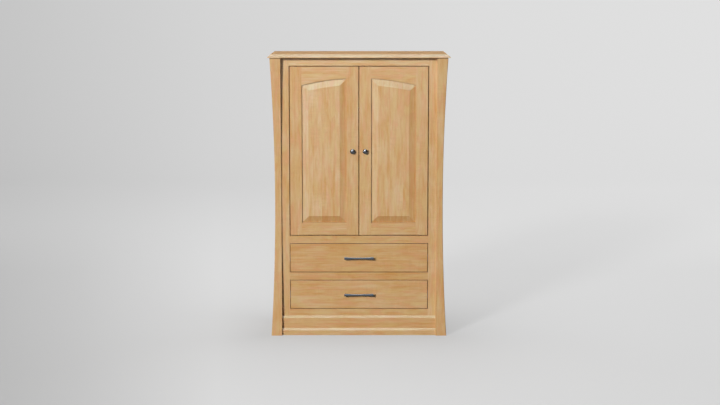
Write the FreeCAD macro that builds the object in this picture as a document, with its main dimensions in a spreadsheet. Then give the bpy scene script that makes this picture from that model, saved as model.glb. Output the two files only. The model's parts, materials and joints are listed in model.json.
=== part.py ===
import FreeCAD, Part

import math
import os

import Sketcher

# Television armoire: a case with four flared corner pillars, two inset doors with arched
# raised panels, and two inset drawers on full-extension slides.
#
# Millimetres. +Z is up, the front faces -Y, and the origin is on the floor at the middle of
# the footprint. Left and right are as seen from the front, so left is -X.

SIZES = {
    # whole piece
    "overall_width": 1168.0,
    "overall_depth": 508.0,
    "overall_height": 1829.0,
    # top board
    "top_thickness": 22.0,
    "top_bevel_run": 21.0,
    "top_nose": 4.0,
    "top_side_overhang": 14.0,
    "top_front_overhang": 15.0,
    # corner pillars
    "pillar_width": 70.0,
    "pillar_side_hollow": 28.5,
    "pillar_front_hollow": 23.0,
    "front_pillar_depth": 75.0,
    "rear_pillar_depth": 60.0,
    "pillar_arris": 3.0,
    "pillar_groove": 10.0,
    # case panels
    "side_panel_inset": 12.0,
    "side_panel_thickness": 19.0,
    "side_panel_floor_gap": 20.0,
    "case_panel_thickness": 19.0,
    "back_thickness": 8.0,
    "back_inset": 6.0,
    "cable_hole_diameter": 64.0,
    "cable_hole_height": 90.0,
    "cable_hole_offset": 200.0,
    "cleat_section": 20.0,
    "cleat_end_gap": 4.0,
    # face frame
    "frame_recess": 33.0,
    "frame_thickness": 19.0,
    "frame_stile_width": 51.0,
    "top_rail_height": 52.0,
    "middle_rail_height": 50.0,
    "drawer_opening_height": 192.0,
    "bottom_rail_show": 44.5,
    "edge_ease": 1.5,
    # base moulding
    "base_height": 127.5,
    "base_projection": 8.0,
    "base_bevel_height": 14.5,
    "base_lap": 17.0,
    "base_thickness": 19.0,
    "shoe_height": 46.0,
    "shoe_projection": 11.0,
    "side_shoe_projection": 8.0,
    # doors
    "door_reveal": 4.5,
    "door_thickness": 22.0,
    "door_stile_width": 77.0,
    "door_bottom_rail_height": 80.0,
    "door_top_rail_height": 75.0,
    "arch_radius": 1500.0,
    "groove_depth": 10.0,
    "panel_reach": 8.5,
    "tongue_thickness": 6.0,
    "tongue_depth": 11.0,
    "panel_bevel_width": 42.0,
    "panel_field_depth": 1.0,
    "fit_clearance": 0.2,
    # door pivots
    "pivot_from_edge": 6.0,
    "pivot_from_face": 4.0,
    "pivot_pin_diameter": 5.0,
    "pivot_running_gap": 0.05,
    "pivot_leaf_gap": 0.3,
    "leaf_thickness": 3.0,
    "leaf_length": 48.0,
    "leaf_width": 15.0,
    "leaf_end": 5.0,
    "leaf_front": 3.5,
    # catch
    "catch_half_width": 40.0,
    "catch_depth": 12.2,
    "catch_tab_height": 30.0,
    "catch_drop": 25.0,
    "strike_width": 30.0,
    "strike_height": 16.0,
    "strike_thickness": 1.5,
    # drawers
    "drawer_reveal": 3.0,
    "drawer_side_thickness": 13.0,
    "drawer_side_gap": 13.0,
    "drawer_side_height": 140.0,
    "drawer_side_rise": 18.0,
    "drawer_side_seat": 10.0,
    "drawer_back_gap": 24.0,
    "drawer_bottom_thickness": 6.0,
    "drawer_bottom_rise": 10.0,
    "drawer_bottom_seat": 6.0,
    "dovetail_pin_width": 8.0,
    "dovetail_flare": 1.6,
    # drawer slides
    "slide_height": 45.0,
    "slide_steel": 1.5,
    "slide_gap": 0.3,
    "slide_front_gap": 2.0,
    "slide_flange": 11.0,
    "bearer_thickness": 19.0,
    "bearer_height": 70.0,
    # shelf
    "shelf_height": 1440.0,
    "shelf_thickness": 19.0,
    "shelf_side_gap": 1.5,
    "shelf_front_gap": 4.0,
    "shelf_pin_diameter": 5.0,
    "shelf_pin_show": 8.0,
    "shelf_pin_seat": 10.0,
    "shelf_pin_inset": 40.0,
    "shelf_pin_pitch": 32.0,
    # knobs and pulls
    "knob_diameter": 32.0,
    "knob_face_diameter": 18.0,
    "knob_neck_diameter": 12.0,
    "knob_foot_diameter": 18.0,
    "knob_foot_height": 2.0,
    "knob_neck_height": 15.0,
    "knob_rim_height": 20.5,
    "knob_projection": 24.0,
    "pull_length": 190.0,
    "pull_centres": 160.0,
    "pull_end_height": 17.0,
    "pull_waist_height": 9.5,
    "pull_projection": 30.0,
    "pull_thickness": 8.0,
    "pull_post_diameter": 9.0,
}

SHELF_HOLES = 3
DRAWER_TAILS = 3

doc = FreeCAD.newDocument("tv_armoire")
sheet = doc.addObject("Spreadsheet::Sheet", "Sizes")
for row, (alias, number) in enumerate(SIZES.items(), start=1):
    sheet.set(f"A{row}", alias)
    sheet.set(f"B{row}", str(number))
    sheet.setAlias(f"B{row}", alias)
doc.recompute()


# ---------------------------------------------------------------- formulas

class Formula:
    """A length worked out from the sheet: the expression that binds it, and its value now."""

    def __init__(self, text, value):
        self.text = text
        self.value = value

    def __add__(self, other):
        return joined(self, "+", other, self.value + number_of(other))

    def __radd__(self, other):
        return joined(other, "+", self, number_of(other) + self.value)

    def __sub__(self, other):
        return joined(self, "-", other, self.value - number_of(other))

    def __rsub__(self, other):
        return joined(other, "-", self, number_of(other) - self.value)

    def __mul__(self, other):
        return joined(self, "*", other, self.value * number_of(other))

    def __rmul__(self, other):
        return joined(other, "*", self, number_of(other) * self.value)

    def __truediv__(self, other):
        return joined(self, "/", other, self.value / number_of(other))

    def __neg__(self):
        return Formula(f"(0 - {self.text})", -self.value)


def number_of(item):
    """The value of a formula or of a plain number."""
    return item.value if isinstance(item, Formula) else float(item)


def text_of(item):
    """The expression of a formula or of a plain number."""
    return item.text if isinstance(item, Formula) else f"({float(item)})"


def joined(left, sign, right, value):
    """Two items joined by an arithmetic sign."""
    return Formula(f"({text_of(left)} {sign} {text_of(right)})", value)


def root_of(item):
    """The square root of a formula."""
    return Formula(f"sqrt({item.text})", math.sqrt(item.value))


def size(alias):
    """A driving dimension from the sheet."""
    return Formula(f"Sizes.{alias}", float(sheet.get(alias)))


# ---------------------------------------------------------------- building blocks

# Sketch planes: role of the origin plane, and whether its normal runs along + or - the axis.
PLANES = {
    "front": ("XZ_Plane", -1),
    "side": ("YZ_Plane", 1),
    "plan": ("XY_Plane", 1),
}


def new_body(label):
    """An empty PartDesign body whose label names the piece."""
    body = doc.addObject("PartDesign::Body", label)
    body.Label = label
    return body


def new_sketch(body, view, level, name="Outline"):
    """A sketch parallel to one of the body's origin planes, at the given level on its axis."""
    role, direction = PLANES[view]
    plane = next(item for item in body.Origin.OriginFeatures if item.Role == role)
    sketch = body.newObject("Sketcher::SketchObject", name)
    sketch.AttachmentSupport = [(plane, "")]
    sketch.MapMode = "FlatFace"
    sketch.setExpression("AttachmentOffset.Base.z", text_of(direction * level))
    return sketch


def bind_constraint(sketch, constraint, formula):
    """Adds one dimension to a sketch and ties it to a formula."""
    index = sketch.addConstraint(constraint)
    sketch.setExpression(f"Constraints[{index}]", text_of(formula))


def draw_loop(sketch, corners, arcs=None):
    """A closed outline. Each corner is set by two formulas; arcs gives, for a side that is
    curved, its radius and its centre."""
    arcs = arcs or {}
    first = sketch.GeometryCount
    count = len(corners)
    places = [FreeCAD.Vector(number_of(u), number_of(v), 0) for u, v in corners]
    ends = []
    for index in range(count):
        start = places[index]
        stop = places[(index + 1) % count]
        if index in arcs:
            centre = FreeCAD.Vector(*(number_of(item) for item in arcs[index][1]), 0)
            radius = number_of(arcs[index][0])
            turn = (start - centre).cross(stop - centre).z
            chord = (start + stop) * 0.5 - centre
            middle = centre + chord.normalize() * radius
            trio = (start, middle, stop) if turn > 0 else (stop, middle, start)
            sketch.addGeometry(Part.Arc(*trio), False)
            ends.append((1, 2) if turn > 0 else (2, 1))
        else:
            sketch.addGeometry(Part.LineSegment(start, stop), False)
            ends.append((1, 2))
    for index in range(count):
        following = (index + 1) % count
        sketch.addConstraint(Sketcher.Constraint(
            "Coincident", first + index, ends[index][1], first + following, ends[following][0]))
    for index, (u, v) in enumerate(corners):
        corner = (first + index, ends[index][0])
        bind_constraint(
            sketch, Sketcher.Constraint("DistanceX", -1, 1, *corner, number_of(u)), u)
        bind_constraint(
            sketch, Sketcher.Constraint("DistanceY", -1, 1, *corner, number_of(v)), v)
    for index, (radius, _) in arcs.items():
        bind_constraint(
            sketch, Sketcher.Constraint("Radius", first + index, number_of(radius)), radius)


def draw_circle(sketch, centre_u, centre_v, diameter):
    """A circle whose centre and diameter are set by formulas."""
    centre = FreeCAD.Vector(number_of(centre_u), number_of(centre_v), 0)
    circle = Part.Circle(centre, FreeCAD.Vector(0, 0, 1), number_of(diameter) / 2)
    index = sketch.addGeometry(circle, False)
    bind_constraint(
        sketch, Sketcher.Constraint("DistanceX", -1, 1, index, 3, centre.x), centre_u)
    bind_constraint(
        sketch, Sketcher.Constraint("DistanceY", -1, 1, index, 3, centre.y), centre_v)
    bind_constraint(
        sketch, Sketcher.Constraint("Diameter", index, number_of(diameter)), diameter)


def rectangle(u_range, v_range):
    """The four corners of a rectangle."""
    (u_low, u_high), (v_low, v_high) = u_range, v_range
    return [(u_low, v_low), (u_high, v_low), (u_high, v_high), (u_low, v_high)]


def start_level(view, span):
    """Where a sketch lies so that its feature grows across the span."""
    return span[0] if PLANES[view][1] > 0 else span[1]


def pad(body, view, loops, span, arcs=None):
    """Adds material: the loops of a sketch, grown across the span of its axis."""
    sketch = new_sketch(body, view, start_level(view, span))
    for corners in loops:
        draw_loop(sketch, corners, arcs)
    feature = body.newObject("PartDesign::Pad", "Pad")
    feature.Profile = sketch
    feature.setExpression("Length", text_of(span[1] - span[0]))
    doc.recompute()
    return feature


def pocket(body, view, loops, span, arcs=None):
    """Takes material away: the loops of a sketch, sunk across the span of its axis."""
    sketch = new_sketch(body, view, start_level(view, span), "Cutout")
    for corners in loops:
        draw_loop(sketch, corners, arcs)
    return sunk(body, sketch, span)


def bore(body, view, circles, span):
    """Drills round holes, each given by centre and diameter, across the span of the axis."""
    sketch = new_sketch(body, view, start_level(view, span), "Holes")
    for centre_u, centre_v, diameter in circles:
        draw_circle(sketch, centre_u, centre_v, diameter)
    return sunk(body, sketch, span)


def sunk(body, sketch, span):
    """A pocket that grows along its sketch's normal, checked to have cut something."""
    before = body.Shape.Volume
    feature = body.newObject("PartDesign::Pocket", "Pocket")
    feature.Profile = sketch
    feature.Reversed = True
    feature.setExpression("Length", text_of(span[1] - span[0]))
    doc.recompute()
    if body.Shape.Volume >= before:
        raise RuntimeError(f"{body.Label}: a pocket cut nothing")
    return feature


def board(label, view, corners, span, arcs=None):
    """A piece sawn to one outline from stock of one thickness."""
    body = new_body(label)
    pad(body, view, [corners], span, arcs)
    return body


def block(label, x_span, y_span, z_span):
    """A plain rectangular piece between two formulas on each axis."""
    box = doc.addObject("Part::Box", label)
    box.Label = label
    spans = (x_span, y_span, z_span)
    for side, axis, (low, high) in zip(("Length", "Width", "Height"), "xyz", spans):
        box.setExpression(side, text_of(high - low))
        box.setExpression(f"Placement.Base.{axis}", text_of(low))
    return box


def mirrored(source, label):
    """The same piece on the other side of the middle plane."""
    copy = doc.addObject("Part::Mirroring", label)
    copy.Label = label
    copy.Source = source
    copy.Normal = FreeCAD.Vector(1, 0, 0)
    copy.Base = FreeCAD.Vector(0, 0, 0)
    return copy


def group(label, members):
    """Identical pieces kept in one node as separate solids."""
    compound = doc.addObject("Part::Compound", label)
    compound.Label = label
    compound.Links = members
    return compound


def dress(body, kind, amount, chosen):
    """Fillets or chamfers the edges that the chooser accepts."""
    base = body.Tip
    names = [
        f"Edge{number}"
        for number, edge in enumerate(base.Shape.Edges, start=1)
        if chosen(edge)
    ]
    if not names:
        raise RuntimeError(f"{body.Label}: no edge to dress")
    feature = body.newObject(f"PartDesign::{kind}", kind)
    feature.Base = (base, names)
    feature.setExpression("Radius" if kind == "Fillet" else "Size", text_of(amount))
    doc.recompute()
    return feature


def lies_at(edge, **places):
    """True when both ends and the middle of an edge share the given coordinates."""
    first, last = edge.ParameterRange
    points = [edge.valueAt(first), edge.valueAt((first + last) / 2), edge.valueAt(last)]
    return all(
        abs(getattr(point, axis) - number_of(value)) < 1e-3
        for axis, value in places.items()
        for point in points
    )


# ---------------------------------------------------------------- shared places

# Everything below is worked out from the sheet. Fronts face -Y.
half_width = size("overall_width") / 2
front_y = -(size("overall_depth") / 2)
rear_y = size("overall_depth") / 2
top_z = size("overall_height")
case_top = top_z - size("top_thickness")

pillar_outer = half_width - size("top_side_overhang")
case_half = pillar_outer - size("pillar_width")
pillar_front = front_y + size("top_front_overhang")
front_pillar_rear = pillar_front + size("front_pillar_depth")
rear_pillar_front = rear_y - size("rear_pillar_depth")

side_inner = case_half + size("side_panel_inset")
side_outer = side_inner + size("side_panel_thickness")

face_y = pillar_front + size("frame_recess")
frame_rear = face_y + size("frame_thickness")
opening_half = case_half - size("frame_stile_width")
back_front = rear_y - size("back_inset") - size("back_thickness")

# heights of the openings, from the floor up
base_ledge = size("base_height") - size("base_lap")
lower_drawer_z = size("base_height") + size("bottom_rail_show")
lower_drawer_top = lower_drawer_z + size("drawer_opening_height")
upper_drawer_z = lower_drawer_top + size("middle_rail_height")
upper_drawer_top = upper_drawer_z + size("drawer_opening_height")
doors_z = upper_drawer_top + size("middle_rail_height")
doors_top = case_top - size("top_rail_height")


# ---------------------------------------------------------------- top board

def make_top_board():
    """Square at the back; a wide bevel over a thin nose on the front and both ends."""
    run = size("top_bevel_run")
    nose_z = case_top + size("top_nose")
    profile = [
        (front_y, case_top),
        (rear_y, case_top),
        (rear_y, top_z),
        (front_y + run, top_z),
        (front_y, nose_z),
    ]
    body = board("top_board", "side", profile, (-half_width, half_width))
    spare = size("top_thickness")
    corner = [
        (half_width, nose_z),
        (half_width + spare, nose_z),
        (half_width + spare, top_z + spare),
        (half_width - run, top_z + spare),
        (half_width - run, top_z),
    ]
    other = [(-u, v) for u, v in corner]
    pocket(body, "front", [corner, other], (front_y - spare, rear_y + spare))
    return body


# ---------------------------------------------------------------- corner pillars

def arc_radius(length, hollow):
    """Radius of an arc that sinks by the hollow over the length."""
    return (length * length / 4 + hollow * hollow) / (2 * hollow)


def pillar_blank(label, y_span):
    """A right-hand pillar: straight inside, one long hollow arc outside."""
    radius = arc_radius(case_top, size("pillar_side_hollow"))
    outline = [
        (case_half, 0),
        (pillar_outer, 0),
        (pillar_outer, case_top),
        (case_half, case_top),
    ]
    centre = (pillar_outer - size("pillar_side_hollow") + radius, case_top / 2)
    return board(label, "front", outline, y_span, {1: (radius, centre)})


def make_front_pillar():
    """Also hollow on its front face, with eased front corners and a groove behind."""
    body = pillar_blank("pillar_front_right", (pillar_front, front_pillar_rear))
    radius = arc_radius(case_top, size("pillar_front_hollow"))
    hollow = [
        (pillar_front, 0),
        (pillar_front, case_top),
        (pillar_front - size("pillar_front_hollow"), case_top),
        (pillar_front - size("pillar_front_hollow"), 0),
    ]
    centre = (pillar_front + size("pillar_front_hollow") - radius, case_top / 2)
    pocket(body, "side", [hollow], (0, half_width * 2), {0: (radius, centre)})
    groove = rectangle(
        (side_inner, side_outer),
        (front_pillar_rear - size("pillar_groove"), front_pillar_rear + size("pillar_groove")))
    pocket(body, "plan", [groove], (size("side_panel_floor_gap"), top_z))
    waist_front = pillar_front + size("pillar_front_hollow")
    dress(body, "Chamfer", size("pillar_arris"), lambda edge: is_outer_front(edge))
    dress(body, "Chamfer", size("edge_ease"), lambda edge: is_inner_front(edge, waist_front))
    return body


def is_outer_front(edge):
    """The long edge where a pillar's two hollow faces meet."""
    middle = edge.valueAt(sum(edge.ParameterRange) / 2)
    waist_side = pillar_outer - size("pillar_side_hollow")
    waist_front = pillar_front + size("pillar_front_hollow")
    return abs(middle.x - waist_side.value) < 1 and abs(middle.y - waist_front.value) < 1


def is_inner_front(edge, waist_front):
    """The long edge between a pillar's hollow front and its straight inner face."""
    middle = edge.valueAt(sum(edge.ParameterRange) / 2)
    return abs(middle.x - case_half.value) < 1e-3 and abs(middle.y - waist_front.value) < 1


def make_rear_pillar():
    """Flat at the back, grooved for the side panel and rebated for the back panel."""
    body = pillar_blank("pillar_rear_right", (rear_pillar_front, rear_y))
    groove = rectangle(
        (side_inner, side_outer),
        (rear_pillar_front - size("pillar_groove"), rear_pillar_front + size("pillar_groove")))
    pocket(body, "plan", [groove], (size("side_panel_floor_gap"), top_z))
    rebate = rectangle(
        (case_half - size("side_panel_inset"), side_inner),
        (back_front, rear_y + size("back_inset")))
    pocket(body, "plan", [rebate], (case_panel_z(lower_drawer_z)[0], top_z))
    dress(body, "Chamfer", size("edge_ease"), lambda edge: is_outer_rear(edge))
    return body


def is_outer_rear(edge):
    """The long curved edge at a rear pillar's outer back corner."""
    middle = edge.valueAt(sum(edge.ParameterRange) / 2)
    waist_side = pillar_outer - size("pillar_side_hollow")
    return abs(middle.x - waist_side.value) < 1 and abs(middle.y - rear_y.value) < 1e-3


# ---------------------------------------------------------------- case panels

def case_panel_z(top_face):
    """The span of a horizontal case panel whose top face is given."""
    return (top_face - size("case_panel_thickness"), top_face)


def make_side_panel():
    """Tongued into the pillars' grooves, with two rows of blind holes for shelf pins."""
    body = board(
        "side_panel_right",
        "side",
        rectangle(
            (front_pillar_rear - size("pillar_groove"), rear_pillar_front + size("pillar_groove")),
            (size("side_panel_floor_gap"), case_top)),
        (side_inner, side_outer))
    pitch = size("shelf_pin_pitch")
    lowest = shelf_pin_z - pitch * (SHELF_HOLES // 2)
    diameter = size("shelf_pin_diameter") + size("pivot_running_gap") * 2
    holes = bore(
        body,
        "side",
        [(y, lowest, diameter) for y in shelf_pin_rows],
        (side_inner, side_inner + size("shelf_pin_seat")))
    rows = body.newObject("PartDesign::LinearPattern", "PinHoles")
    rows.Originals = [holes]
    rows.Direction = (holes.Profile[0], ["V_Axis"])
    rows.setExpression("Length", text_of(pitch * (SHELF_HOLES - 1)))
    rows.Occurrences = SHELF_HOLES
    body.Tip = rows
    doc.recompute()
    return body


def make_case_panel(label, top_face):
    """A horizontal panel, notched round the four pillars."""
    corners = [
        (case_half, frame_rear),
        (case_half, front_pillar_rear),
        (side_inner, front_pillar_rear),
        (side_inner, rear_pillar_front),
        (case_half, rear_pillar_front),
        (case_half, back_front),
    ]
    outline = corners + [(-u, v) for u, v in reversed(corners)]
    return board(label, "plan", outline, case_panel_z(top_face))


def make_back_panel():
    """Fills the rebates of the rear pillars; one round hole lets cables out."""
    bottom = case_panel_z(lower_drawer_z)[0]
    span = (back_front, back_front + size("back_thickness"))
    body = board(
        "back_panel", "front", rectangle((-side_inner, side_inner), (bottom, case_top)), span)
    hole_z = doors_z + size("cable_hole_height")
    hole = (size("cable_hole_offset"), hole_z, size("cable_hole_diameter"))
    bore(body, "front", [hole], span)
    return body


def make_cleats():
    """Four cleats on the side panels, two under each horizontal panel."""
    section = size("cleat_section")
    y_span = (
        front_pillar_rear + size("cleat_end_gap"),
        rear_pillar_front - size("cleat_end_gap"))
    right = [
        block(
            f"cleat_{number}",
            (side_inner - section, side_inner),
            y_span,
            (case_panel_z(face)[0] - section, case_panel_z(face)[0]))
        for number, face in enumerate((lower_drawer_z, doors_z), start=1)
    ]
    left = [mirrored(cleat, f"{cleat.Label}_left") for cleat in right]
    return group("panel_cleats", right + left)


# ---------------------------------------------------------------- shelf

shelf_span_y = (
    front_pillar_rear + size("shelf_front_gap"),
    rear_pillar_front - size("shelf_front_gap"))
shelf_pin_rows = (
    shelf_span_y[0] + size("shelf_pin_inset"),
    shelf_span_y[1] - size("shelf_pin_inset"))
shelf_pin_z = size("shelf_height") - size("shelf_pin_diameter") / 2


def make_shelf():
    """A loose board on four pins."""
    half = side_inner - size("shelf_side_gap")
    z_span = (size("shelf_height"), size("shelf_height") + size("shelf_thickness"))
    body = board("tv_shelf", "side", rectangle(shelf_span_y, z_span), (-half, half))
    dress(
        body,
        "Chamfer",
        size("edge_ease"),
        lambda edge: any(lies_at(edge, y=shelf_span_y[0], z=level) for level in z_span))
    return body


def make_shelf_pins():
    """Four round steel pins, each half in its hole and half under the shelf."""
    pins = []
    for number, y in enumerate(shelf_pin_rows, start=1):
        pin = new_body(f"pin_{number}")
        span = (side_inner - size("shelf_pin_show"), side_inner + size("shelf_pin_seat"))
        sketch = new_sketch(pin, "side", span[0])
        draw_circle(sketch, y, shelf_pin_z, size("shelf_pin_diameter"))
        feature = pin.newObject("PartDesign::Pad", "Pad")
        feature.Profile = sketch
        feature.setExpression("Length", text_of(span[1] - span[0]))
        doc.recompute()
        pins += [pin, mirrored(pin, f"pin_{number}_left")]
    return group("shelf_pins", pins)


# ---------------------------------------------------------------- face frame

def make_face_frame():
    """Two full-height stiles with four rails between them."""
    y_span = (face_y, frame_rear)
    stile = block(
        "face_stile_right", (opening_half, case_half), y_span, (base_ledge, case_top))
    rails = {
        "top_rail": (doors_top, case_top),
        "middle_rail": (upper_drawer_top, doors_z),
        "drawer_rail": (lower_drawer_top, upper_drawer_z),
        "bottom_rail": (base_ledge, lower_drawer_z),
    }
    pieces = [stile, mirrored(stile, "face_stile_left")]
    for label, z_span in rails.items():
        pieces.append(make_rail(label, y_span, z_span))
    return pieces


def make_rail(label, y_span, z_span):
    """A face-frame rail; those that meet a door are let in for the pivot plates."""
    body = board(
        label, "front", rectangle((-opening_half, opening_half), z_span), y_span)
    seat = leaf_seat()
    if label == "top_rail":
        seat_z = (doors_top - size("edge_ease"), doors_top + seat)
    elif label == "middle_rail":
        seat_z = (doors_z - seat, doors_z + size("edge_ease"))
    else:
        return body
    plate = rectangle(*leaf_outline())
    other = [(-u, v) for u, v in plate]
    pocket(body, "plan", [plate, other], seat_z)
    return body


# ---------------------------------------------------------------- base moulding

def base_profile(face):
    """Section of the base board, from its face plane back: bevelled, and rebated behind."""
    front = face - size("base_projection")
    back = front + size("base_thickness")
    return [
        (front, 0),
        (back, 0),
        (back, base_ledge),
        (face, base_ledge),
        (face, size("base_height")),
        (front, size("base_height") - size("base_bevel_height")),
    ]


def shoe_profile(back, projection):
    """Section of the shoe: a low board with the same bevel."""
    return [
        (back - projection, 0),
        (back, 0),
        (back, size("shoe_height")),
        (back - projection, size("shoe_height") - size("base_bevel_height")),
    ]


def make_base():
    """Front base and shoe between the front pillars, side ones between front and rear."""
    board_face = face_y - size("base_projection")
    width = (-case_half, case_half)
    depth = (front_pillar_rear, rear_pillar_front)
    pieces = [
        board("base_board_front", "side", base_profile(face_y), width),
        board("base_shoe_front", "side", shoe_profile(board_face, size("shoe_projection")), width),
    ]
    side_face = side_outer + size("base_projection")
    side_section = [
        (side_outer, 0),
        (side_face, 0),
        (side_face, size("base_height") - size("base_bevel_height")),
        (side_outer, size("base_height")),
    ]
    side_shoe = [
        (2 * side_face - u, v)
        for u, v in shoe_profile(side_face, size("side_shoe_projection"))
    ]
    for name, section in (("base_board", side_section), ("base_shoe", side_shoe)):
        right = board(f"{name}_right", "front", section, depth)
        pieces += [right, mirrored(right, f"{name}_left")]
    return pieces


# ---------------------------------------------------------------- doors

# The right door; the left one mirrors it.
door_left_x = size("door_reveal") / 2
door_right_x = opening_half - size("door_reveal")
door_z = doors_z + size("door_reveal")
door_top = doors_top - size("door_reveal")
door_rear = face_y + size("door_thickness")
daylight_left = door_left_x + size("door_stile_width")
daylight_right = door_right_x - size("door_stile_width")
daylight_z = door_z + size("door_bottom_rail_height")
arch_centre_z = door_top - size("door_top_rail_height") - size("arch_radius")
tongue_front = face_y + size("tongue_depth")
tongue_rear = tongue_front + size("tongue_thickness")
groove_span = (tongue_front - size("fit_clearance"), tongue_rear + size("fit_clearance"))


def arch_z(x, inset):
    """Height of the arch at x, moved in towards its centre by the inset."""
    radius = size("arch_radius") - inset
    return arch_centre_z + root_of(radius * radius - x * x)


def arched_outline(inset):
    """The panel opening moved inwards by the inset: three straight sides under one arc."""
    left = daylight_left + inset
    right = daylight_right - inset
    bottom = daylight_z + inset
    corners = [
        (left, bottom),
        (right, bottom),
        (right, arch_z(right, inset)),
        (left, arch_z(left, inset)),
    ]
    arcs = {2: (size("arch_radius") - inset, (0, arch_centre_z))}
    return corners, arcs


def make_door_stile(label, x_span, inner_x, inward):
    """A full-height stile, grooved along its inner edge."""
    y_span = (face_y, door_rear)
    body = board(label, "front", rectangle(x_span, (door_z, door_top)), y_span)
    depth = size("groove_depth")
    across = (inner_x - depth, inner_x + depth)
    pocket(body, "plan", [rectangle(across, groove_span)], (door_z, door_top))
    outer_x = x_span[0] if inward > 0 else x_span[1]
    dress(
        body,
        "Chamfer",
        size("edge_ease"),
        lambda edge: lies_at(edge, y=face_y, x=outer_x))
    return body


def make_door_rails():
    """Both rails, with stub tenons in the stiles' grooves and a groove for the panel."""
    y_span = (face_y, door_rear)
    depth = size("groove_depth")
    tenon_x = (daylight_left - depth, daylight_right + depth)
    tenon_y = (tongue_front, tongue_rear)

    bottom = board(
        "door_right_bottom_rail",
        "front",
        rectangle((daylight_left, daylight_right), (door_z, daylight_z)),
        y_span)
    pad(bottom, "front", [rectangle(tenon_x, (door_z, daylight_z - depth))], tenon_y)
    pocket(
        bottom,
        "front",
        [rectangle((daylight_left, daylight_right), (daylight_z - depth, daylight_z + depth))],
        groove_span)
    dress(
        bottom, "Chamfer", size("edge_ease"), lambda edge: lies_at(edge, y=face_y, z=door_z))

    top = new_body("door_right_top_rail")
    arch = [
        (daylight_left, arch_z(daylight_left, 0)),
        (daylight_right, arch_z(daylight_right, 0)),
        (daylight_right, door_top),
        (daylight_left, door_top),
    ]
    arcs = {0: (size("arch_radius"), (0, arch_centre_z))}
    pad(top, "front", [arch], y_span, arcs)
    shoulder_z = arch_z(daylight_left, -depth)
    pad(top, "front", [rectangle(tenon_x, (shoulder_z, door_top))], tenon_y)
    groove = [
        (daylight_left, arch_z(daylight_left, depth)),
        (daylight_right, arch_z(daylight_right, depth)),
        (daylight_right, arch_z(daylight_right, -depth)),
        (daylight_left, arch_z(daylight_left, -depth)),
    ]
    groove_arcs = {
        0: (size("arch_radius") - depth, (0, arch_centre_z)),
        2: (size("arch_radius") + depth, (0, arch_centre_z)),
    }
    pocket(top, "front", [groove], groove_span, groove_arcs)
    dress(top, "Chamfer", size("edge_ease"), lambda edge: lies_at(edge, y=face_y, z=door_top))
    return [bottom, top]


def make_door_panel():
    """A tongue all round, and a field raised from it by a wide bevel that follows the arch."""
    body = new_body("door_right_panel")
    corners, arcs = arched_outline(-size("panel_reach"))
    pad(body, "front", [corners], (tongue_front, tongue_rear), arcs)
    sections = []
    field_y = face_y + size("panel_field_depth")
    for inset, level in ((0, tongue_front), (size("panel_bevel_width"), field_y)):
        sketch = new_sketch(body, "front", level, "Section")
        corners, arcs = arched_outline(inset)
        draw_loop(sketch, corners, arcs)
        sections.append(sketch)
    loft = body.newObject("PartDesign::AdditiveLoft", "RaisedField")
    loft.Profile = sections[0]
    loft.Sections = [sections[1]]
    loft.Ruled = True
    doc.recompute()
    return body


# ---------------------------------------------------------------- pivots

# Knife pivots: a plate with a pin let into the rail, and a bored leaf let into the door.
pivot_x = door_right_x - size("pivot_from_edge")
pivot_y = face_y + size("pivot_from_face")


def leaf_seat():
    """How deep a plate or leaf is let in, so that the pair shares the reveal."""
    return size("leaf_thickness") - (size("door_reveal") - size("pivot_leaf_gap")) / 2


def leaf_outline():
    """The plan of a plate or leaf about the right-hand pivot."""
    right = pivot_x + size("leaf_end")
    front = pivot_y - size("leaf_front")
    return (right - size("leaf_length"), right), (front, front + size("leaf_width"))


def make_pivots():
    """Top and bottom plates with pins for both sides, and the leaves that ride on the door."""
    x_span, y_span = leaf_outline()
    thickness = size("leaf_thickness")
    seat = leaf_seat()
    gap = size("pivot_leaf_gap")
    ends = {
        "top": ((doors_top + seat - thickness, doors_top + seat), -1),
        "bottom": ((doors_z - seat, doors_z - seat + thickness), 1),
    }
    plates = []
    leaves = []
    for name, (plate_z, towards_door) in ends.items():
        plate = board(f"pivot_plate_{name}", "plan", rectangle(x_span, y_span), plate_z)
        if towards_door < 0:
            leaf_z = (plate_z[0] - gap - thickness, plate_z[0] - gap)
            pin_z = (leaf_z[0], plate_z[0])
        else:
            leaf_z = (plate_z[1] + gap, plate_z[1] + gap + thickness)
            pin_z = (plate_z[1], leaf_z[1])
        sketch = new_sketch(plate, "plan", pin_z[0], "Pin")
        draw_circle(sketch, pivot_x, pivot_y, size("pivot_pin_diameter"))
        pin = plate.newObject("PartDesign::Pad", "Pin")
        pin.Profile = sketch
        pin.setExpression("Length", text_of(pin_z[1] - pin_z[0]))
        doc.recompute()
        leaf = board(f"pivot_leaf_{name}", "plan", rectangle(x_span, y_span), leaf_z)
        hole = size("pivot_pin_diameter") + 2 * size("pivot_running_gap")
        bore(leaf, "plan", [(pivot_x, pivot_y, hole)], leaf_z)
        plates.append(plate)
        leaves.append(leaf)
    mirror_plates = [mirrored(plate, f"{plate.Label}_left") for plate in plates]
    right_leaves = group("pivot_leaves_right", leaves)
    return [
        group("pivot_plates", plates + mirror_plates),
        right_leaves,
        mirrored(right_leaves, "pivot_leaves_left"),
    ]


def let_in_leaves(stile):
    """Seats for the two leaves in the ends of a hinge stile."""
    plan = rectangle(*leaf_outline())
    seat = leaf_seat()
    spare = size("edge_ease")
    pocket(stile, "plan", [plan], (door_z - spare, door_z + seat))
    pocket(stile, "plan", [plan], (door_top - seat, door_top + spare))


# ---------------------------------------------------------------- catch

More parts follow.
